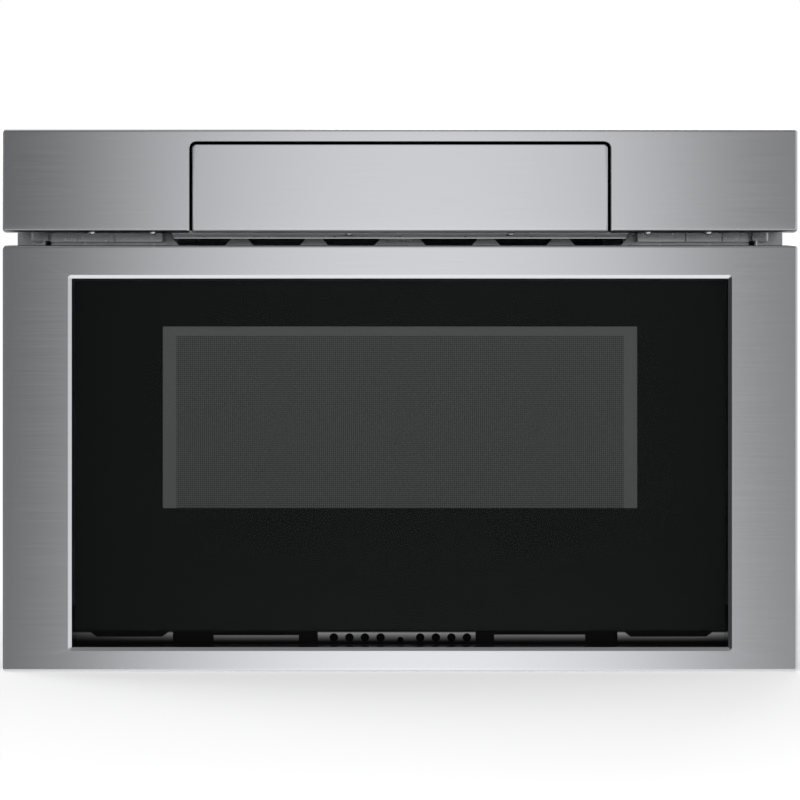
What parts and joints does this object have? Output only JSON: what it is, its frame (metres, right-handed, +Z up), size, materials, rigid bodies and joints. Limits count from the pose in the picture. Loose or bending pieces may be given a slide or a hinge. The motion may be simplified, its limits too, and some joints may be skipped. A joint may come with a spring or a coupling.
{
  "type": "microwave drawer",
  "caption": "Built-in microwave drawer: steel-framed glass front that slides out on rails by rack and pinion, with a tilting control console above.",
  "frame": {"origin": "under the base pan, on the centreline, in the plane of the cabinet's face", "axes": "+X right as seen from the kitchen, the front faces -Y, +Y runs back into the cabinet, +Z up"},
  "size_m": [0.6064, 0.651, 0.4131],
  "materials": {
    "brushed_stainless": "stainless steel brushed along the width",
    "zinc_sheet": "galvanised sheet steel",
    "black_steel": "black painted sheet steel",
    "grey_enamel": "semi-gloss grey coating",
    "black_glass": "dark tinted toughened glass",
    "clear_glass": "clear toughened glass",
    "black_plastic": "moulded black polymer",
    "grey_plastic": "moulded grey polymer",
    "white_plastic": "moulded natural acetal",
    "circuit_board": "green laminate with components",
    "copper_winding": "lacquered copper wire",
    "laminated_iron": "varnished iron laminations",
    "aluminium_fins": "bare aluminium"
  },
  "bodies": {
    "chassis": {"base_pan": "zinc_sheet", "outer_wrap": "zinc_sheet", "rear_cover": "zinc_sheet", "cord_gland": "black_plastic", "front_flange": "zinc_sheet", "fascia": "brushed_stainless", "control_tray": "zinc_sheet", "flange_bracket_left": "zinc_sheet", "flange_bracket_right": "zinc_sheet", "interlock_switch_left": "grey_plastic", "interlock_switch_right": "grey_plastic", "rail_outer_left": "zinc_sheet", "rail_outer_right": "zinc_sheet", "console_motor": "grey_plastic", "cavity_shell": "grey_enamel", "waveguide": "zinc_sheet", "stirrer_motor": "grey_plastic", "stirrer_cover": "white_plastic", "magnetron_anode": "aluminium_fins", "magnetron_yoke": "zinc_sheet", "transformer_core": "laminated_iron", "transformer_coil": "copper_winding", "capacitor": "aluminium_fins", "oven_lamp": "white_plastic", "power_board": "circuit_board", "blower_housing": "black_plastic", "blower_motor": "zinc_sheet", "exhaust_duct": "zinc_sheet", "drive_bracket": "zinc_sheet", "drive_motor": "zinc_sheet"},
    "drawer": {"drawer_front_frame": "brushed_stainless", "front_glass": "black_glass", "window_screen": "black_steel", "choke_panel": "black_steel", "choke_cover": "black_plastic", "inner_glass": "clear_glass", "lower_vent_plate": "black_steel", "drawer_bin": "grey_enamel", "glass_tray": "clear_glass", "drawer_rack": "white_plastic", "drawer_arm_left": "zinc_sheet", "drawer_arm_right": "zinc_sheet", "rail_inner_left": "zinc_sheet", "rail_inner_right": "zinc_sheet", "latch_hook_left": "white_plastic", "latch_hook_right": "white_plastic"},
    "runner_left": {"rail_mid_left": "zinc_sheet"},
    "runner_right": {"rail_mid_right": "zinc_sheet"},
    "pinion": {"drive_pinion": "white_plastic"},
    "console": {"console_flap": "brushed_stainless", "console_housing": "black_plastic", "touch_glass": "black_glass", "console_board": "circuit_board", "console_sector": "white_plastic", "console_pin_left": "zinc_sheet", "console_pin_right": "zinc_sheet"},
    "tilt_gear": {"console_pinion": "white_plastic"},
    "stirrer": {"stirrer": "zinc_sheet"},
    "blower": {"blower_wheel": "grey_plastic"}
  },
  "joints": [
    {"name": "drawer_slide", "type": "slide", "parent": "chassis", "child": "drawer", "axis": [0, -1, 0], "range_m": [0, 0.385]},
    {"name": "runner_left_slide", "type": "slide", "parent": "chassis", "child": "runner_left", "axis": [0, -1, 0], "range_m": [0, 0.195]},
    {"name": "runner_right_slide", "type": "slide", "parent": "chassis", "child": "runner_right", "axis": [0, -1, 0], "range_m": [0, 0.195]},
    {"name": "pinion_spin", "type": "hinge", "parent": "chassis", "child": "pinion", "pos_m": [0, 0.024, 0.024], "axis": [1, 0, 0], "range_deg": [0, 1230]},
    {"name": "console_tilt", "type": "hinge", "parent": "chassis", "child": "console", "pos_m": [0, -0.054, 0.3274], "axis": [1, 0, 0], "range_deg": [0, 45]},
    {"name": "tilt_gear_spin", "type": "hinge", "parent": "chassis", "child": "tilt_gear", "pos_m": [0, -0.03067, 0.35073], "axis": [1, 0, 0], "range_deg": [-204, 0]},
    {"name": "stirrer_spin", "type": "hinge", "parent": "chassis", "child": "stirrer", "pos_m": [0, 0.226, 0.259], "axis": [0, 0, 1], "continuous": true},
    {"name": "blower_spin", "type": "hinge", "parent": "chassis", "child": "blower", "pos_m": [0.09, 0.522, 0.15], "axis": [1, 0, 0], "continuous": true}
  ],
  "couplings": [
    {"joint": "runner_left_slide", "follows": "drawer_slide", "ratio": 0.5},
    {"joint": "runner_right_slide", "follows": "drawer_slide", "ratio": 0.5},
    {"joint": "pinion_spin", "follows": "drawer_slide", "rad_per_m": 55.556},
    {"joint": "tilt_gear_spin", "follows": "console_tilt", "ratio": -4.5}
  ]
}
